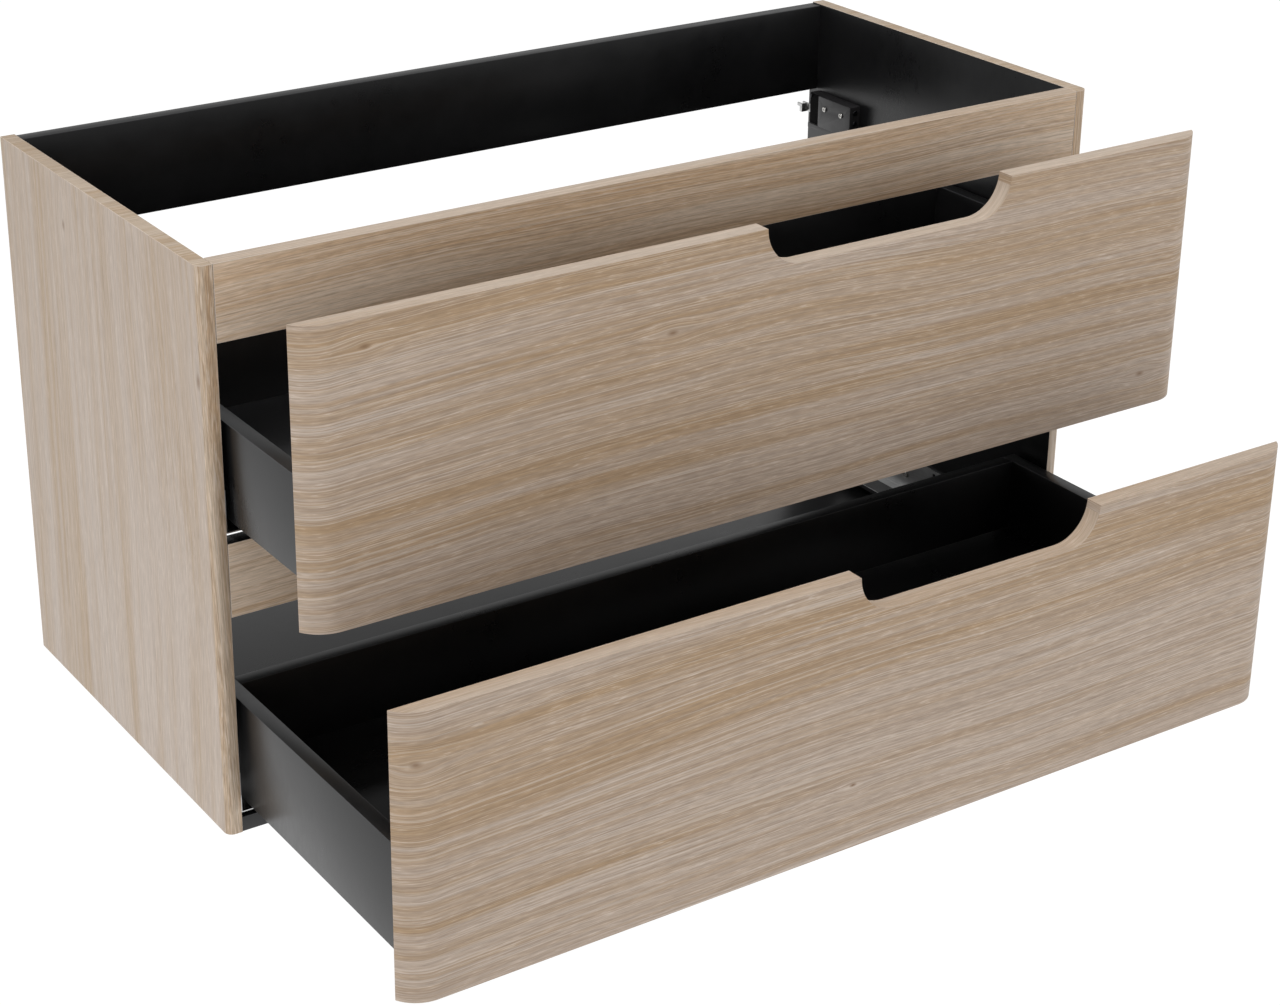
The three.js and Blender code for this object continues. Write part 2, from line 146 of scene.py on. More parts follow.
# %% Selecting and editing
def only(piece):
    """Object mode, with this piece selected and nothing else."""
    if bpy.context.object and bpy.context.object.mode != "OBJECT":
        bpy.ops.object.mode_set(mode="OBJECT")
    bpy.ops.object.select_all(action="DESELECT")
    piece.select_set(True)
    bpy.context.view_layer.objects.active = piece


def edit(piece):
    only(piece)
    bpy.ops.object.mode_set(mode="EDIT")
    bpy.ops.mesh.select_all(action="DESELECT")


def leave():
    bpy.ops.object.mode_set(mode="OBJECT")


def pick_faces(test):
    """Selects, in edit mode, the faces for which test(middle, normal) holds."""
    bpy.ops.mesh.select_mode(type="FACE")
    bpy.ops.mesh.select_all(action="DESELECT")
    mesh = bpy.context.object.data
    inside = bmesh.from_edit_mesh(mesh)
    for face in inside.faces:
        if test(face.calc_center_median(), face.normal):
            face.select_set(True)
    inside.select_flush_mode()
    bmesh.update_edit_mesh(mesh)


def pick_edges(test):
    """Selects, in edit mode, the edges for which test(middle, direction, ends) holds."""
    bpy.ops.mesh.select_mode(type="EDGE")
    bpy.ops.mesh.select_all(action="DESELECT")
    mesh = bpy.context.object.data
    inside = bmesh.from_edit_mesh(mesh)
    for edge in inside.edges:
        a, b = (v.co for v in edge.verts)
        if test((a + b) / 2, (b - a).normalized(), (a, b)):
            edge.select_set(True)
    inside.select_flush_mode()
    bmesh.update_edit_mesh(mesh)


def modify(piece, kind, **settings):
    """Adds a modifier, sets it and applies it."""
    only(piece)
    bpy.ops.object.modifier_add(type=kind)
    modifier = piece.modifiers[-1]
    for key, value in settings.items():
        setattr(modifier, key, value)
    bpy.ops.object.modifier_apply(modifier=modifier.name)


def near(a, b, tolerance=0.02 * MM):
    return abs(a - b) < tolerance


# %% [markdown]
# ## A block with its place in its mesh
# Every piece stays at the origin, unturned and unscaled, and its place is in its mesh, as in the
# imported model. A cube of size one is added at the piece's middle with its size as the scale, and
# then place and scale are applied. Boolean cutters are made in the same way and removed after use.

# %% Blocks, drills and cuts
def settle(name):
    """Names the active object and moves its place and size into its mesh."""
    piece = bpy.context.object
    piece.name = name
    bpy.ops.object.transform_apply(location=True, rotation=True, scale=True)
    return piece


def block(name, low, high):
    middle = [(a + b) / 2 for a, b in zip(low, high)]
    size = [abs(b - a) for a, b in zip(low, high)]
    bpy.ops.object.select_all(action="DESELECT")
    bpy.ops.mesh.primitive_cube_add(size=1, location=middle, scale=size)
    return settle(name)


CLEAR = 0.01  # cutters reach this far past the piece
TURNS = {"X": (0, math.pi / 2, 0), "Y": (math.pi / 2, 0, 0), "Z": (0, 0, 0)}


def rod(name, middle, along, radius, length, sides=32):
    bpy.ops.object.select_all(action="DESELECT")
    bpy.ops.mesh.primitive_cylinder_add(
        vertices=sides, radius=radius, depth=length, location=middle, rotation=TURNS[along],
    )
    return settle(name)


def combine(piece, tool, operation="DIFFERENCE"):
    """Cuts the tool out of the piece, joins it on or keeps what they share; the tool goes."""
    modify(piece, "BOOLEAN", object=tool, operation=operation, solver="EXACT")
    bpy.data.objects.remove(tool, do_unlink=True)


def smooth(piece, degrees=32):
    only(piece)
    bpy.ops.object.shade_smooth_by_angle(angle=math.radians(degrees))


# %% [markdown]
# ## Building a finish from nodes
# All finishes are procedural. Each starts from Object coordinates, which are metres in the
# cabinet's own frame, so a pattern has a real size and doesn't change when a piece is copied.
# Two helpers keep the node code short: one starts a material and one adds a node with its inputs.

# %% Node helpers
def new_finish(name):
    finish = bpy.data.materials.new(name)
    finish.use_nodes = True
    return finish, finish.node_tree


def node(tree, kind, inputs=None, **settings):
    made = tree.nodes.new("ShaderNode" + kind)
    for key, value in settings.items():
        setattr(made, key, value)
    for key, value in (inputs or {}).items():
        if isinstance(value, bpy.types.NodeSocket):
            tree.links.new(value, made.inputs[key])
        else:
            made.inputs[key].default_value = value
    return made


def noise(tree, place, scales, detail=2.0, roughness=0.5):
    """Noise whose features are 1 / scale metres long on each axis."""
    stretched = node(tree, "Mapping", {"Vector": place, "Scale": scales}).outputs[0]
    inputs = {"Vector": stretched, "Scale": 1.0, "Detail": detail, "Roughness": roughness}
    return node(tree, "TexNoise", inputs).outputs


def blend_of(tree, value, stops):
    """A colour ramp over value, from (position, (r, g, b)) stops."""
    ramp = node(tree, "ValToRGB", {"Fac": value})
    while len(ramp.color_ramp.elements) < len(stops):
        ramp.color_ramp.elements.new(0.5)
    for element, (position, colour) in zip(ramp.color_ramp.elements, stops):
        element.position = position
        element.color = (*colour, 1)
    return ramp.outputs["Color"]


def calculate(tree, operation, *values):
    return node(tree, "Math", dict(enumerate(values)), operation=operation).outputs[0]


def fit_range(tree, value, start, end, low, high):
    inputs = {"Value": value, "From Min": start, "From Max": end, "To Min": low, "To Max": high}
    return node(tree, "MapRange", inputs).outputs[0]


def srgb(*values):
    """A colour named by its screen values, 0 to 255, as the shader wants it."""
    return tuple(((v / 255 + 0.055) / 1.055) ** 2.4 for v in values)


# %% [markdown]
# ## Oak decor
# The shell and the drawer fronts are faced with a printed oak decor. It is greige with slow tan
# bands, fine pale and brown lines that wander along the grain, and short pores pressed into it.
# Noise stretched along the grain gives all of them: a slow noise first pushes the coordinates
# across the grain, so that bands and lines wander together, and the same lines drive the bump.

# %% Oak decor helpers
def push(tree, place, pattern, amount):
    """Moves the coordinates by a coloured noise, which is 0.5 on average."""
    centred = node(tree, "VectorMath", {0: pattern, 1: (0.5, 0.5, 0.5)}, operation="SUBTRACT")
    scaled = node(tree, "VectorMath", {0: centred.outputs[0], "Scale": amount}, operation="SCALE")
    return node(tree, "VectorMath", {0: place, 1: scaled.outputs[0]}, operation="ADD").outputs[0]


def mixed_colour(tree, amount, first, second):
    return node(tree, "Mix", {0: amount, 6: first, 7: second}, data_type="RGBA").outputs[2]


def screen(values):
    return (*srgb(*values), 1)


# %% [markdown]
# ## Pin knots
# A pin knot is a small dark eye that the lines flow round. Each one is given by its place and
# radius. Close to it the coordinates are drawn towards its middle, which bends the lines round it,
# and a short ramp over the distance darkens the eye.

# %% Pin knots
def pin_knots(tree, place, grain, knots):
    """The moved coordinates and the darkness of the eyes."""
    shape = tuple(0.45 if axis == grain else 1.0 for axis in "XYZ")
    moved, darkness = place, None
    for centre, radius in knots:
        away = node(tree, "VectorMath", {0: place, 1: centre}, operation="SUBTRACT").outputs[0]
        oval = node(tree, "VectorMath", {0: away, 1: shape}, operation="MULTIPLY").outputs[0]
        distance = node(tree, "VectorMath", {0: oval}, operation="LENGTH").outputs["Value"]
        pull = calculate(tree, "POWER", fit_range(tree, distance, 0.0, radius * 9, 0.95, 0.0), 2.0)
        drawn = node(tree, "VectorMath", {0: away, "Scale": pull}, operation="SCALE").outputs[0]
        moved = node(tree, "VectorMath", {0: moved, 1: drawn}, operation="SUBTRACT").outputs[0]
        eye = fit_range(tree, distance, radius * 0.25, radius * 1.3, 1.0, 0.0)
        darkness = eye if darkness is None else calculate(tree, "MAXIMUM", darkness, eye)
    return moved, darkness


# %% [markdown]
# ## One decor, several sheets
# The side panels, the fronts and the edging strips are cut from different sheets, so they differ a
# little in tone and in how strong the tan bands are. The grain axis and the axes that the lines
# are fine on are chosen for each, because a strip's grain can run along it or across it.

# %% Oak decor
def oak(name, grain, fine_on, grey, tan, tanned, contrast=1.0, knots=()):
    finish, tree = new_finish(name)
    place = node(tree, "TexCoord").outputs["Object"]

    def scales(along, fine):
        return tuple(fine if axis in fine_on and axis != grain else along for axis in "XYZ")

    moved, eyes = pin_knots(tree, place, grain, knots)
    wavy = push(tree, moved, noise(tree, place, scales(1.4, 3.2), 1.0)["Color"], 0.055)
    wavy = push(tree, wavy, noise(tree, place, scales(7, 28), 2.0)["Color"], 0.0034)

    band = noise(tree, wavy, scales(0.7, 36), 2.0, 0.55)["Fac"]
    streak = noise(tree, wavy, scales(2.0, 135), 2.0, 0.6)["Fac"]
    lines = noise(tree, wavy, scales(4.5, 560), 2.0, 0.65)["Fac"]
    dashes = noise(tree, wavy, scales(60, 820), 2.0, 0.6)["Fac"]
    threads = noise(tree, wavy, scales(3.5, 1000), 1.0)["Fac"]

    warm = calculate(tree, "MULTIPLY_ADD", streak, 0.45, calculate(tree, "MULTIPLY", band, 0.55))
    warmth = fit_range(tree, warm, 0.60 - 0.08 * (1 - tanned), 0.42 - 0.08 * (1 - tanned), 0.0, 1.0)
    ground = mixed_colour(tree, warmth, screen(grey), screen(tan))

    light = calculate(tree, "MULTIPLY_ADD", lines, 0.42 * contrast, 1.0 - 0.61 * contrast)
    light = calculate(tree, "MULTIPLY_ADD", dashes, 0.80 * contrast, light)
    colour = node(tree, "VectorMath", {0: ground, "Scale": light}, operation="SCALE").outputs[0]
    for start, end, most, tone in (
        (0.57, 0.67, 0.34, (224, 212, 200)), (0.43, 0.33, 0.30, (132, 104, 78)),
    ):
        amount = fit_range(tree, threads, start, end, 0.0, most * contrast)
        colour = mixed_colour(tree, amount, colour, screen(tone))
    pores = fit_range(tree, dashes, 0.62, 0.74, 0.0, 0.40)
    colour = mixed_colour(tree, pores, colour, screen((216, 206, 196)))
    if eyes is not None:
        brown = calculate(tree, "MULTIPLY", eyes, fit_range(tree, dashes, 0.3, 0.7, 0.50, 0.95))
        colour = mixed_colour(tree, brown, colour, screen((126, 97, 70)))

    shader = tree.nodes["Principled BSDF"]
    tree.links.new(colour, shader.inputs["Base Color"])
    tree.links.new(fit_range(tree, warm, 0.35, 0.65, 0.60, 0.48), shader.inputs["Roughness"])
    shader.inputs["Specular IOR Level"].default_value = 0.3
    relief = calculate(tree, "MULTIPLY_ADD", lines, 0.4, calculate(tree, "MULTIPLY", dashes, 0.6))
    bump = node(tree, "Bump", {"Height": relief, "Strength": 0.4, "Distance": 0.15 * MM})
    tree.links.new(bump.outputs[0], shader.inputs["Normal"])
    return finish


SIDE_GREY, SIDE_TAN = (187, 172, 159), (178, 157, 134)
FRONT_GREY, FRONT_TAN = (179, 161, 145), (169, 143, 114)
SIDE_KNOTS = (
    ((-0.500, -0.4310, -0.0563), 3.4 * MM), ((-0.500, -0.1479, 0.0027), 2.6 * MM),
    ((0.500, -0.3050, -0.2350), 3.2 * MM),
)
FRONT_KNOTS = (
    ((-0.4773, -0.7570, -0.2768), 3.2 * MM), ((-0.0311, -0.7605, -0.4373), 1.8 * MM),
    ((0.3661, -0.7605, -0.2254), 2.2 * MM), ((-0.1327, -0.6105, -0.0291), 2.6 * MM),
    ((-0.4339, -0.6105, 0.0222), 2.4 * MM), ((0.4354, -0.6105, -0.1907), 2.4 * MM),
)
oak_upright = oak("oak_decor_upright", "Z", "XY", SIDE_GREY, SIDE_TAN, 0.4, 0.65, SIDE_KNOTS)
oak_level = oak("oak_decor_level", "X", "Z", FRONT_GREY, FRONT_TAN, 0.6, 1.0, FRONT_KNOTS)
# The rails' copy of the decor is paler: painted light against the shade under the drawer fronts.
painted_light_rail_oak = oak("painted_light_rail_decor", "X", "Z", (205, 185, 164), (190, 160, 128), 0.6, 1.1)
oak_nose = oak("oak_edging_upright", "Z", "XY", (193, 174, 153), (176, 148, 118), 0.6, 1.3)
oak_edge_long = oak("oak_edging_long", "X", "Y", (192, 175, 158), (182, 158, 133), 0.5, 0.7)
oak_edge_short = oak("oak_edging_short", "X", "Y", (188, 170, 150), (176, 153, 127), 0.6, 0.8)
# The arris finish is paler than the faces: a painted highlight along the rounded arrises.
oak_arris = oak("oak_arris_painted_highlight", "X", "YZ", (210, 197, 184), (200, 180, 160), 0.4, 0.5)
print("seven oak finishes")

# %% [markdown]
# ## Black melamine
# The inside faces and the drawer boxes are black melamine-faced board. Up close it has a fine
# pebbled press texture and it is a little uneven in gloss. Its arrises take a greyer finish, a
# painted highlight. A fast noise gives the pebbles as bump, and a slow one varies the roughness
# and lifts the black.

# %% Black melamine
def melamine(name, dark, light, rough):
    finish, tree = new_finish(name)
    place = node(tree, "TexCoord").outputs["Object"]
    clouds = noise(tree, place, (7, 7, 7), 4.0, 0.6)["Fac"]
    pebbles = noise(tree, place, (1300, 1300, 1300), 2.0)["Fac"]
    scuffs = noise(tree, place, (60, 240, 60), 3.0, 0.7)["Fac"]
    mixed = calculate(tree, "MULTIPLY_ADD", scuffs, 0.35, calculate(tree, "MULTIPLY", clouds, 0.65))
    shader = tree.nodes["Principled BSDF"]
    shade = blend_of(tree, mixed, [(0.36, dark), (0.64, light)])
    tree.links.new(shade, shader.inputs["Base Color"])
    gloss = fit_range(tree, mixed, 0.3, 0.7, rough - 0.06, rough + 0.08)
    tree.links.new(gloss, shader.inputs["Roughness"])
    bump = node(tree, "Bump", {"Height": pebbles, "Strength": 0.25, "Distance": 0.05 * MM})
    tree.links.new(bump.outputs[0], shader.inputs["Normal"])
    return finish


black_board = melamine("black_melamine", srgb(15, 15, 16), srgb(23, 23, 24), 0.30)
# The arris finish is greyer than the board: a painted highlight along the rounded arrises.
black_arris = melamine("black_melamine_arris_painted_highlight", srgb(40, 40, 42), srgb(62, 62, 64), 0.38)
print("two melamine finishes")

# %% [markdown]
# ## Metals, plastics and rubber
# The runners are bright zinc-plated sheet with faint rolling lines and a cloudy plating, the
# screws are plated wire, and the fittings are moulded plastic with a fine spark texture. One
# recipe serves them all: a cloudy colour, a roughness that follows it, and a fine bump that is
# stretched along the rolling direction where there is one.

# %% Metal, plastic and rubber
def fitting_finish(name, dark, light, rough, spread, metallic, grain, depth):
    finish, tree = new_finish(name)
    place = node(tree, "TexCoord").outputs["Object"]
    clouds = noise(tree, place, (55, 55, 55), 4.0, 0.65)["Fac"]
    fine = noise(tree, place, grain, 2.0, 0.6)["Fac"]
    mixed = calculate(tree, "MULTIPLY_ADD", fine, 0.4, calculate(tree, "MULTIPLY", clouds, 0.6))
    shader = tree.nodes["Principled BSDF"]
    shade = blend_of(tree, mixed, [(0.34, dark), (0.66, light)])
    tree.links.new(shade, shader.inputs["Base Color"])
    gloss = fit_range(tree, mixed, 0.3, 0.7, rough + spread, rough - spread)
    tree.links.new(gloss, shader.inputs["Roughness"])
    shader.inputs["Metallic"].default_value = metallic
    bump = node(tree, "Bump", {"Height": fine, "Strength": 0.4, "Distance": depth})
    tree.links.new(bump.outputs[0], shader.inputs["Normal"])
    return finish


def neutral(value):
    return srgb(value, value, value)


ROLLED = (900, 40, 900)
WIRE, SPARKED, CAST = (1400,) * 3, (2200,) * 3, (1500,) * 3
zinc = fitting_finish(
    "zinc_plated_sheet", neutral(178), srgb(204, 204, 203), 0.32, 0.05, 1.0, ROLLED, 0.008 * MM)
screw_zinc = fitting_finish(
    "zinc_plated_screw", srgb(176, 174, 171), srgb(218, 216, 212), 0.30, 0.08, 1.0, WIRE, 0.02 * MM)
dark_steel = fitting_finish(
    "blackened_steel", srgb(44, 44, 46), srgb(74, 74, 76), 0.34, 0.08, 1.0, WIRE, 0.02 * MM)
black_moulding = fitting_finish(
    "black_moulded_plastic", srgb(34, 33, 34), srgb(48, 47, 48), 0.36, 0.07, 0.0,
    SPARKED, 0.05 * MM)
grey_moulding = fitting_finish(
    "grey_moulded_plastic", srgb(98, 102, 108), srgb(122, 126, 131), 0.48, 0.07, 0.0,
    SPARKED, 0.05 * MM)
# A near-black finish that paints the shade inside the hanger recesses.
painted_shade_black = fitting_finish(
    "hanger_recess_painted_shade", neutral(6), neutral(12), 0.90, 0.05, 0.0, SPARKED, 0.05 * MM)
soft_rubber = fitting_finish(
    "pale_soft_rubber", srgb(196, 199, 201), srgb(221, 223, 224), 0.42, 0.06, 0.0, CAST, 0.03 * MM)

# The painted shade reflects little, so that it stays near-black.
painted_shade_shader = painted_shade_black.node_tree.nodes["Principled BSDF"]
painted_shade_shader.inputs["Specular IOR Level"].default_value = 0.1
rubber_shader = soft_rubber.node_tree.nodes["Principled BSDF"]
rubber_shader.inputs["Subsurface Weight"].default_value = 0.3
rubber_shader.inputs["Subsurface Radius"].default_value = (0.003, 0.003, 0.003)
print("seven fitting finishes")

# %% [markdown]
# ## Covering a board
# A board is faced on its two large sides and edged with a strip on the others, so one piece can
# need several finishes. Each face takes the finish of the first rule that its normal passes. The
# Bevel modifier then rounds every arris and, on the boards, gives the new narrow faces a paler
# finish that paints a highlight along the arrises.

# %% Facing and arrises
def cover(piece, finishes, rule):
    """Gives each face finishes[rule(middle, normal)]."""
    piece.data.materials.clear()
    for finish in finishes:
        piece.data.materials.append(finish)
    for face in piece.data.polygons:
        face.material_index = rule(face.center, face.normal)


def ease(piece, width, edge_slot, segments=2, degrees=30):
    """Rounds all sharp edges; the rounded strips take the finish in the given place number."""
    modify(piece, "BEVEL", width=width, segments=segments, limit_method="ANGLE",
           angle_limit=math.radians(degrees), material=edge_slot)
    smooth(piece)


def stand_in(piece, node_name, body):
    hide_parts(node_name)
    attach(piece, body)


ARRIS = 0.5 * MM


def black_piece(node_name, body, arris=ARRIS):
    low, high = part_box(node_name)
    piece = block(node_name + "_board", low, high)
    cover(piece, [black_board, black_arris], lambda middle, normal: 0)
    # The eased arrises take the grey arris finish, a painted highlight.
    ease(piece, arris, 1)
    stand_in(piece, node_name, body)


# %% [markdown]
# ## Side panels
# Each side panel is decor outside and black inside, and its outer front edge is rounded over. The
# rounding is an edge bevel in edit mode, before the arrises. The top edge is a strip whose grain
# runs across the board, and the front edge's grain runs upwards like the outer face's.

# %% Side panels
NOSE = 8 * MM


def side_panel(side, outward):
    low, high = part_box(f"{side}_side_panel")
    piece = block(f"{side}_side_panel_board", low, high)
    outer = high[0] if outward > 0 else low[0]
    edit(piece)
    pick_edges(
        lambda middle, way, ends: near(middle.x, outer) and near(middle.y, low[1])
        and abs(way.z) > 0.9
    )
    bpy.ops.mesh.bevel(offset=NOSE, segments=10, affect="EDGES")
    leave()

    def facing(middle, normal):
        if normal.x * outward < -0.9:
            return 1
        if normal.y < -0.25:
            return 4
        return 2 if abs(normal.z) > 0.9 else 0

    cover(piece, [oak_upright, black_board, oak_edge_short, oak_arris, oak_nose], facing)
    # The eased arrises take the pale arris finish, a painted highlight.
    ease(piece, 0.4 * MM, 3, degrees=40)
    print(piece.name, len(piece.data.polygons), "faces")
    stand_in(piece, f"{side}_side_panel", "cabinet")


SIDES = (("left", -1), ("right", 1))
for side, outward in SIDES:
    side_panel(side, outward)

# %% [markdown]
# ## Rails and bottom
# The two front rails are thicker boards that stand on edge between the side panels, in decor on
# the front and on the upper rail's top. The back rail and the bottom are plain black boards. A
# hair of space at both ends shows as the dark joint line that such carcasses have.

# %% Rails and bottom
def front_rail(node_name, top_finish):
    low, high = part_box(node_name)
    piece = block(node_name + "_board", low, high)

    def facing(middle, normal):
        if normal.z > 0.9:
            return top_finish
        return 0 if normal.y < -0.9 else 2

    # The rail fronts take the paler decor, painted light against the shade under the drawer fronts.
    cover(piece, [painted_light_rail_oak, oak_edge_long, black_board, oak_arris], facing)
    # The eased arrises take the pale arris finish, a painted highlight.
    ease(piece, ARRIS, 3)
    stand_in(piece, node_name, "cabinet")


front_rail("front_rail", 1)
front_rail("middle_rail", 2)
black_piece("back_rail", "cabinet", 0.7 * MM)
black_piece("bottom_panel", "cabinet")
print("four boards between the sides")

# %% [markdown]
# ## Drawer fronts
# A front is a thick slab whose ends curve back to the rear face, so it ends in a slim edge. The
# curve's radius is twice the slab's thickness, more than an edge bevel on the slab could give. A
# deeper block gets that rounding instead, and a Boolean keeps what the slab and the block share.
# The finger cut-out is a block with two rounded lower corners, taken away from the top edge. Its
# rear edge is rounded for the fingers, and the outline of the front face is softened with a wider
# bevel than the other arrises.

# %% Drawer front
END_RADIUS, DEEP_BLOCK = 36 * MM, 0.09
SOFT_EDGE, FINGER_EDGE = 4 * MM, 5 * MM
GRIP_WIDTH, GRIP_DEPTH, GRIP_MIDDLE = 280 * MM, 38 * MM, 107 * MM


def rounded_block(name, low, high, radius, segments, chosen):
    """A block with the chosen edges rounded in edit mode."""
    piece = block(name, low, high)
    edit(piece)
    pick_edges(chosen)
    bpy.ops.mesh.bevel(offset=radius, segments=segments, affect="EDGES")
    leave()
    return piece


def drawer_front(deck):
    low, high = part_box(f"{deck}_drawer_front")
    piece = block(f"{deck}_drawer_front_board", low, high)
    depth = high[1] - low[1]
    spare = END_RADIUS - math.sqrt(END_RADIUS**2 - (END_RADIUS - depth) ** 2)
    deep = rounded_block(
        "end_rounding", (low[0] - spare, low[1], low[2] - CLEAR),
        (high[0] + spare, low[1] + DEEP_BLOCK, high[2] + CLEAR),
        END_RADIUS, 20, lambda middle, way, ends: near(middle.y, low[1]) and abs(way.z) > 0.9,
    )
    combine(piece, deep, "INTERSECT")
    half = GRIP_WIDTH / 2
    grip_floor = high[2] - GRIP_DEPTH
    grip = rounded_block(
        "grip_cutter", (GRIP_MIDDLE - half, low[1] - CLEAR, grip_floor),
        (GRIP_MIDDLE + half, high[1] + CLEAR, high[2] + GRIP_DEPTH + 0.002),
        GRIP_DEPTH - 0.02 * MM, 14,
        lambda middle, way, ends: near(middle.z, grip_floor) and abs(way.y) > 0.9,
    )
    combine(piece, grip)
    edit(piece)
    bpy.ops.mesh.select_all(action="SELECT")
    bpy.ops.mesh.dissolve_limited(angle_limit=math.radians(0.5))
    rear = high[1]

    def in_cut(middle, face):
        beside = abs(middle.x - GRIP_MIDDLE) < half + 0.001 and middle.z > grip_floor - 0.001
        return beside and near(middle.y, face) and not near(middle.z, low[2])

    def front_outline(middle, way, ends):
        a, b = ends
        if a.y > rear - 0.0001 and b.y > rear - 0.0001:
            return False
        level = near(a.z, b.z) and (near(a.z, high[2]) or near(a.z, low[2]))
        return level or in_cut(middle, low[1])

    pick_edges(lambda middle, way, ends: in_cut(middle, rear))
    bpy.ops.mesh.bevel(offset=FINGER_EDGE, segments=6, affect="EDGES", clamp_overlap=True)
    pick_edges(front_outline)
    bpy.ops.mesh.bevel(offset=SOFT_EDGE, segments=6, affect="EDGES", clamp_overlap=True)
    leave()

    def facing(middle, normal):
        inside_cut = abs(middle.x - GRIP_MIDDLE) < half - 0.001 and middle.z > grip_floor - 0.001
        return int(abs(normal.z) > 0.8 or (inside_cut and abs(normal.y) < 0.3))

    cover(piece, [oak_level, oak_edge_long, oak_arris], facing)
    # The eased arrises take the pale arris finish, a painted highlight.
    ease(piece, 0.6 * MM, 2, degrees=35)
    print(piece.name, len(piece.data.polygons), "faces")
    stand_in(piece, f"{deck}_drawer_front", f"{deck}_drawer")


DECKS = ("upper", "lower")
for deck in DECKS:
    drawer_front(deck)

# %% [markdown]
# ## Drawer boxes
# The boxes are four black boards with eased edges: two sides, a back and a bottom. The bottom lies
# higher than the sides' lower edges, which leaves room below it for the runners.

# %% Drawer boxes
for deck in DECKS:
    for part in ("bottom", "back", "left_side", "right_side"):
        black_piece(f"{deck}_drawer_{part}", f"{deck}_drawer", 0.6 * MM)
print("eight drawer boards")

# %% [markdown]
# ## Bent sheet
# Runner members are folded from zinc-plated sheet. A plane gives the first strip, its far edge is
# extruded once per fold, the fold lines are bevelled into bends, and Solidify gives the sheet its
# thickness. The holes are drilled last, so their rims stay round.

# %% Folding a sheet
STEEL, SHEET_EDGE = 1.2 * MM, 0.2 * MM


def folded(name, profile, front, rear, bend):
    """A sheet folded along Y that follows the (x, z) profile on its outer face."""
    (x0, z0), (x1, z1) = profile[:2]
    middle = ((x0 + x1) / 2, (front + rear) / 2, (z0 + z1) / 2)
    upright = abs(x1 - x0) < abs(z1 - z0)
    width = abs(z1 - z0) if upright else abs(x1 - x0)
    bpy.ops.object.select_all(action="DESELECT")
    bpy.ops.mesh.primitive_plane_add(
        size=1, location=middle, rotation=TURNS["X"] if upright else (0, 0, 0),
    )
    piece = bpy.context.object
    piece.scale = (width, rear - front, 1)
    settle(name)
    edit(piece)
    at = (x1, z1)
    for x, z in profile[2:]:
        pick_edges(lambda m, way, ends: near(m.x, at[0]) and near(m.z, at[1]) and abs(way.y) > 0.9)
        move = {"value": (x - at[0], 0, z - at[1])}
        bpy.ops.mesh.extrude_region_move(TRANSFORM_OT_translate=move)
        at = (x, z)
    bends = profile[1:-1]
    pick_edges(
        lambda m, way, ends: abs(way.y) > 0.9
        and any(near(m.x, x) and near(m.z, z) for x, z in bends)
    )
    bpy.ops.mesh.bevel(offset=bend, segments=4, affect="EDGES")
    bpy.ops.mesh.select_all(action="SELECT")
    bpy.ops.mesh.normals_make_consistent(inside=False)
    leave()
    modify(piece, "SOLIDIFY", thickness=STEEL, offset=-1, use_even_offset=True)
    return piece


# %% [markdown]
# ## Cabinet members of the runners
# Each has a tall flange on the side panel, a shelf under the drawer and a short lip. The flange has
# two screw holes and three spare holes. A line is scored along the sheet, and the faces of the
# shelf beyond it take the black finish.

# %% Cabinet members
SCREW_BACK = (37 * MM, 229 * MM)
SCREW_UP = 19.5 * MM
SPARE_HOLES = ((69 * MM, 35.5 * MM), (180 * MM, 35.5 * MM), (261 * MM, 35.5 * MM))
RUNNER_SETBACK, LIP, BLACK_SHELF_FROM = 1 * MM, 6 * MM, 13 * MM
FLANGE_HOLE, FLANGE_BEND = 2.6 * MM, 1.5 * MM


def report_offset(piece, low, high):
    """Says how far a folded sheet is from the box that it has to fill, in mm."""
    off = []
    for i in range(3):
        places = [vertex.co[i] for vertex in piece.data.vertices]
        off.append(max(abs(min(places) - low[i]), abs(max(places) - high[i])))
    print(piece.name, "is off its box by", [round(v / MM, 2) for v in off], "mm")


def score_line(piece, x):
    """Cuts a line along the whole sheet at x, so that the finish can change there."""
    edit(piece)
    bpy.ops.mesh.select_all(action="SELECT")
    bpy.ops.mesh.bisect(plane_co=(x, 0, 0), plane_no=(1, 0, 0))
    leave()


def cabinet_member(deck, side, outward):
    name = f"{deck}_{side}_cabinet_runner"
    low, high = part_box(name)
    wall = high[0] if outward > 0 else low[0]
    inner = low[0] if outward > 0 else high[0]
    profile = [(wall, high[2]), (wall, low[2]), (inner, low[2]), (inner, low[2] + LIP)]
    piece = folded(name + "_sheet", profile, low[1], high[1], FLANGE_BEND)
    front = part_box("bottom_panel")[0][1] - RUNNER_SETBACK
    for back, up in [(b, SCREW_UP) for b in SCREW_BACK] + list(SPARE_HOLES):
        drill = rod("drill", (wall, front + back, low[2] + up), "X", FLANGE_HOLE, 8 * MM, 24)
        combine(piece, drill)
    report_offset(piece, low, high)
    score_line(piece, wall - outward * BLACK_SHELF_FROM)
    cover(piece, [zinc, black_moulding],
          lambda middle, normal: int(abs(middle.x - wall) > BLACK_SHELF_FROM))
    ease(piece, SHEET_EDGE, 0, segments=1, degrees=50)
    stand_in(piece, name, "cabinet")


for deck in DECKS:
    for side, outward in SIDES:
        cabinet_member(deck, side, outward)

# %% [markdown]
# ## Sliding members
# The middle member is a channel that opens upwards and travels half as far as the drawer. The
# drawer member is a wider channel turned over it, screwed under the drawer's bottom.

# %% Sliding members
HOLES_BACK = (30 * MM, 120 * MM, 230 * MM)
CHANNEL_HOLE, CHANNEL_BEND = 2.2 * MM, 1.4 * MM


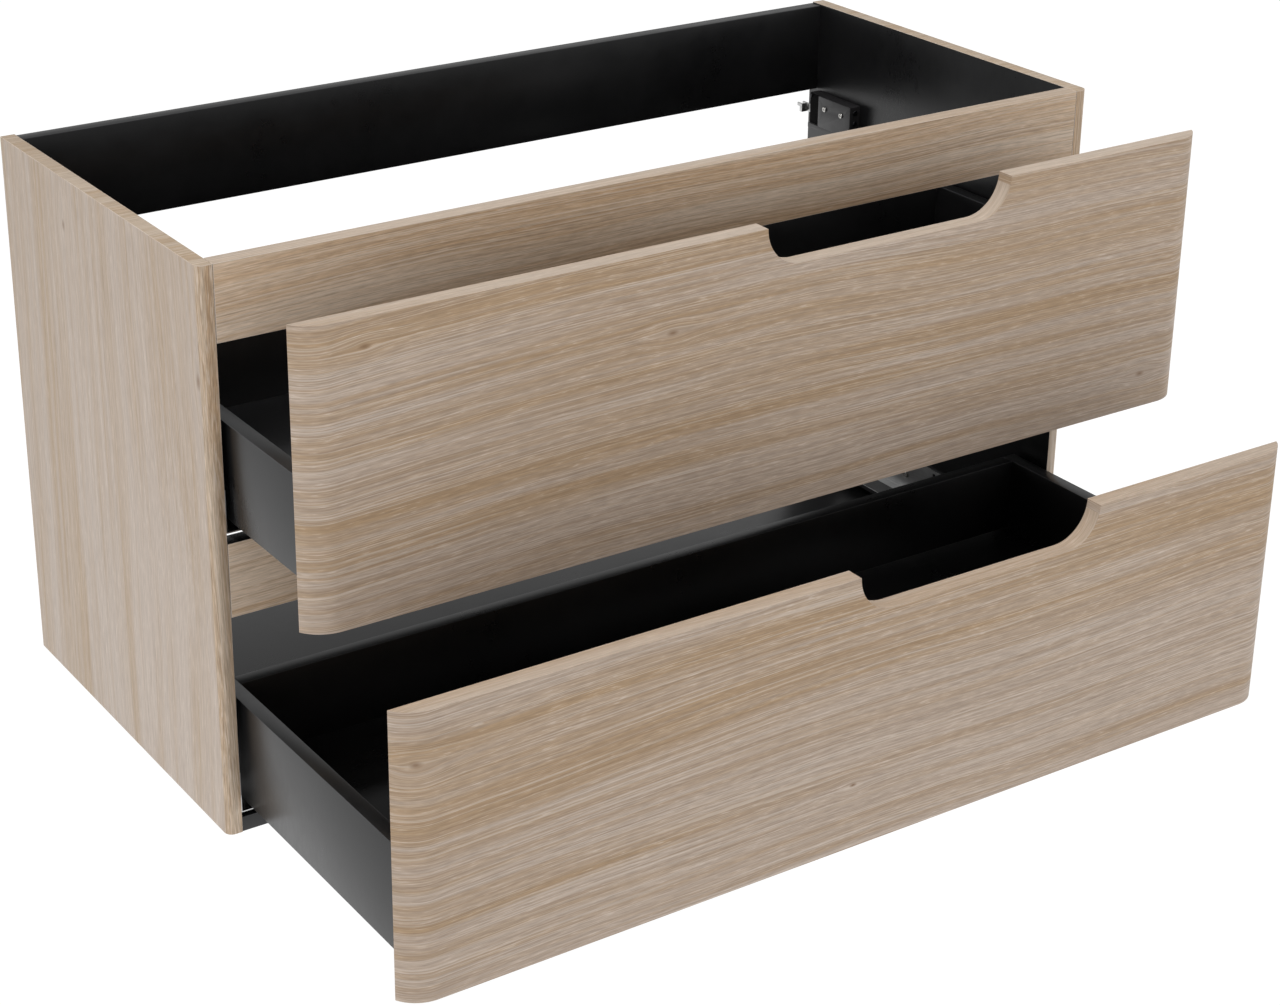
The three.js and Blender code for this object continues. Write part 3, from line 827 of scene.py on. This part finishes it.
def channel(deck, side, part, opens_up, body):
    name = f"{deck}_{side}_{part}_runner"
    low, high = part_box(name)
    web = low[2] if opens_up else high[2]
    tip = high[2] if opens_up else low[2]
    profile = [(low[0], tip), (low[0], web), (high[0], web), (high[0], tip)]
    piece = folded(name + "_sheet", profile, low[1], high[1], CHANNEL_BEND)
    middle = (low[0] + high[0]) / 2
    for back in HOLES_BACK:
        drill = rod("drill", (middle, low[1] + back, web), "Z", CHANNEL_HOLE, 6 * MM, 24)
        combine(piece, drill)
    report_offset(piece, low, high)
    cover(piece, [zinc], lambda middle, normal: 0)
    ease(piece, SHEET_EDGE, 0, segments=1, degrees=50)
    stand_in(piece, name, body)


for deck in DECKS:
    for side, _ in SIDES:
        channel(deck, side, "middle", True, f"{deck}_runner_middles")
        channel(deck, side, "drawer", False, f"{deck}_drawer")

# %% [markdown]
# ## Screws
# A pan-head screw is a short cylinder with its front edge rounded into a dome and a cross recess
# pressed into it. It is modelled once at the origin, facing -X, and each screw in the cabinet is a
# copy with its own mesh, turned and moved into place.

# %% Screws
PAN_HEAD, FLAT_HEAD, ADJUSTER_HEAD = 2.1 * MM, 1.2 * MM, 0.8 * MM


def pan_screw(name, radius, height, shank, length, finish):
    piece = rod(name, (-height / 2, 0, 0), "X", radius, height, 40)
    edit(piece)
    pick_faces(lambda middle, normal: normal.x > 0.9)
    bpy.ops.mesh.inset(thickness=radius - shank)
    bpy.ops.mesh.extrude_region_move(TRANSFORM_OT_translate={"value": (length, 0, 0)})
    pick_edges(lambda middle, way, ends: near(ends[0].x, -height) and near(ends[1].x, -height))
    bpy.ops.mesh.bevel(offset=height * 0.62, segments=5, affect="EDGES")
    leave()
    arm, slot = radius * 0.62, radius * 0.17
    for a, b in ((arm, slot), (slot, arm)):
        cutter = block("recess", (-height - 0.001, -a, -b), (-height * 0.35, a, b))
        combine(piece, cutter)
    pit = rod("recess", (-height, 0, 0), "X", radius * 0.30, height * 1.5, 4)
    combine(piece, pit)
    cover(piece, [finish], lambda middle, normal: 0)
    ease(piece, 0.12 * MM, 0, segments=1, degrees=45)
    return piece


def copy_to(master, name, place, turn=0.0):
    only(master)
    bpy.ops.object.duplicate(linked=False)
    piece = bpy.context.object
    piece.location, piece.rotation_euler = place, (0, 0, turn)
    return settle(name)


pan_head = pan_screw("pan_head_master", 4.3 * MM, PAN_HEAD, 1.4 * MM, 9 * MM, screw_zinc)
flat_head = pan_screw("flat_head_master", 3.0 * MM, FLAT_HEAD, 1.4 * MM, 9 * MM, screw_zinc)
adjuster = pan_screw("adjuster_master", 3.0 * MM, ADJUSTER_HEAD, 2.0 * MM, 7 * MM, dark_steel)


def set_screw(master, node_name, face, turn):
    """face is (axis, place) of the flat that the head stands on."""
    low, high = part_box(node_name)
    place = [(a + b) / 2 for a, b in zip(low, high)]
    place[face[0]] = face[1]
    piece = copy_to(master, node_name + "_head", place, turn)
    stand_in(piece, node_name, "cabinet")


def wall_side(node_name, outward, head):
    """x of the flat under a side screw's head of that height."""
    low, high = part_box(node_name)
    return low[0] + head if outward > 0 else high[0] - head


for side, outward in SIDES:
    turn = 0.0 if outward > 0 else math.pi
    for name in [f"{deck}_{side}_runner_screw_{i}" for deck in DECKS for i in (1, 2)]:
        set_screw(pan_head, name, (0, wall_side(name, outward, PAN_HEAD)), turn)
    for name in [f"{side}_hanger_screw_{i}" for i in (1, 2)]:
        set_screw(flat_head, name, (0, wall_side(name, outward, FLAT_HEAD)), turn)
    for kind in ("depth", "height"):
        name = f"{side}_hanger_{kind}_adjuster"
        set_screw(adjuster, name, (1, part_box(name)[0][1] + ADJUSTER_HEAD), math.pi / 2)
for master in (pan_head, flat_head, adjuster):
    bpy.data.objects.remove(master, do_unlink=True)
print("sixteen screws")

# %% [markdown]
# ## Wall hangers
# Each hanger is a black moulded block screwed to the side panel. Its rear end has a shallow recess
# over a low foot, where the hook's neck comes out; the recess's flat faces are painted near-black
# as painted shade. The recess is cut from a full block, and a step in the foot, two screw seats and
# two sockets in the front end follow. A small pin at the top of the recess is the hook's pivot.

# %% Hanger housings
BLOCK_REAR, TAIL, FOOT, FOOT_STEP = -37 * MM, 12 * MM, 5 * MM, 0.6 * MM
SEAT_RADIUS, SOCKET_RADIUS, SOCKET_DEPTH = 2.2 * MM, 2.4 * MM, 8 * MM
PIN_RADIUS, PIN_LENGTH = 2 * MM, 3 * MM
PIN_INWARD, PIN_FORWARD, PIN_DOWN = 12.4 * MM, 2.8 * MM, 3.2 * MM


def hanger_housing(side, outward):
    name = f"{side}_hanger_housing"
    low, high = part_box(name)
    wall, inner = (high[0], low[0]) if outward > 0 else (low[0], high[0])
    piece = block(name + "_moulding", low, high)
    beyond = inner - outward * 5 * MM
    near_x, far_x = sorted((wall - outward * (TAIL - 0.3 * MM), beyond))
    combine(piece, block(
        "recess", (near_x, BLOCK_REAR, low[2] + FOOT), (far_x, high[1] + CLEAR, high[2] + CLEAR)))
    near_x, far_x = sorted((inner + outward * FOOT_STEP, beyond))
    combine(piece, block(
        "step", (near_x, low[1] - CLEAR, low[2] - CLEAR), (far_x, high[1] + CLEAR, low[2] + FOOT)))
    for i in (1, 2):
        a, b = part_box(f"{side}_hanger_screw_{i}")
        seat = (inner, (a[1] + b[1]) / 2, (a[2] + b[2]) / 2)
        combine(piece, rod("seat", seat, "X", SEAT_RADIUS, 40 * MM, 24))
    for kind in ("depth", "height"):
        a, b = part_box(f"{side}_hanger_{kind}_adjuster")
        seat = ((a[0] + b[0]) / 2, low[1], (a[2] + b[2]) / 2)
        combine(piece, rod("socket", seat, "Y", SOCKET_RADIUS, SOCKET_DEPTH * 2, 32))

    # The flat faces inside the recess take the near-black finish, a painted shade.
    def in_painted_shade(middle, normal):
        behind = middle.y > BLOCK_REAR + 0.2 * MM and middle.z > low[2] + FOOT
        return int(behind and abs(middle.x - wall) < TAIL + 0.1 * MM and abs(normal.x) > 0.9)

    cover(piece, [black_moulding, painted_shade_black], in_painted_shade)
    ease(piece, 0.6 * MM, 0, segments=3, degrees=50)
    print(piece.name, len(piece.data.polygons), "faces")
    stand_in(piece, name, "cabinet")


def pivot_pin(side, outward):
    low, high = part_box(f"{side}_hanger_housing")
    wall = high[0] if outward > 0 else low[0]
    place = (wall - outward * PIN_INWARD, high[1] - PIN_FORWARD, high[2] - PIN_DOWN)
    pin = rod(f"{side}_hanger_pivot_pin", place, "X", PIN_RADIUS, PIN_LENGTH, 32)
    edit(pin)
    pick_edges(
        lambda m, way, ends: near(ends[0].x, ends[1].x) and abs(ends[0].x - wall) > PIN_INWARD
    )
    bpy.ops.mesh.bevel(offset=0.6 * MM, segments=4, affect="EDGES")
    leave()
    cover(pin, [dark_steel], lambda middle, normal: 0)
    smooth(pin)
    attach(pin, "cabinet")


for side, outward in SIDES:
    hanger_housing(side, outward)
    pivot_pin(side, outward)

# %% [markdown]
# ## Hooks, clips and levers
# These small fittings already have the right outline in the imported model, but as loose triangles
# with knife-sharp edges. Each is copied, its doubles are merged and its flat faces dissolved, and a
# bevel then rounds the edges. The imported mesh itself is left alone.

# %% Refined copies
def refined(node_name, suffix, finish, width):
    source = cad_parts[node_name]
    only(source)
    bpy.ops.object.duplicate(linked=False)
    piece = bpy.context.object
    piece.name = node_name + suffix
    world_place = piece.matrix_world.copy()
    piece.parent = None
    piece.matrix_world = world_place
    bpy.ops.object.transform_apply(location=True, rotation=True, scale=True)
    edit(piece)
    bpy.ops.mesh.select_all(action="SELECT")
    bpy.ops.mesh.remove_doubles(threshold=0.00001)
    bpy.ops.mesh.dissolve_limited(angle_limit=math.radians(1))
    leave()
    cover(piece, [finish], lambda middle, normal: 0)
    ease(piece, width, 0, segments=3, degrees=28)
    return piece


for side, _ in SIDES:
    hook = refined(f"{side}_hanger_hook", "_bent", zinc, 0.35 * MM)
    stand_in(hook, f"{side}_hanger_hook", f"{side}_hook")
    for deck in DECKS:
        clip = refined(f"{deck}_{side}_lock_clip", "_moulding", grey_moulding, 0.6 * MM)
        stand_in(clip, f"{deck}_{side}_lock_clip", f"{deck}_drawer")
        lever = refined(f"{deck}_{side}_release_lever", "_moulding", grey_moulding, 0.5 * MM)
        stand_in(lever, f"{deck}_{side}_release_lever", f"{deck}_{side}_lever")
print("two hooks, four clips and four levers")

# %% [markdown]
# ## Bumpers
# A soft dome of clear rubber behind each end of a front takes up the knock as the drawer shuts. It
# is a short cylinder whose free rim is rounded until it is nearly a dome.

# %% Bumpers
for deck in DECKS:
    for side, _ in SIDES:
        name = f"{deck}_{side}_bumper"
        low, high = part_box(name)
        middle = [(a + b) / 2 for a, b in zip(low, high)]
        thick = high[1] - low[1]
        bumper = rod(name + "_dome", middle, "Y", (high[0] - low[0]) / 2, thick, 32)
        edit(bumper)
        pick_edges(lambda m, way, ends: near(ends[0].y, high[1]) and near(ends[1].y, high[1]))
        bpy.ops.mesh.bevel(offset=thick * 0.8, segments=6, affect="EDGES")
        leave()
        cover(bumper, [soft_rubber], lambda m, normal: 0)
        smooth(bumper)
        stand_in(bumper, name, f"{deck}_drawer")
print("four bumpers")

# %% [markdown]
# ## Sizes and finish
# The visual model is meant to fill the same box as the imported model, so both boxes are printed
# at the end.

# %% Sizes
visual_box = [list(corner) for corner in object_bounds()]
for label, corners in (("cad", cad_box), ("visual", visual_box)):
    print(label, [[round(v / MM, 1) for v in corner] for corner in corners])
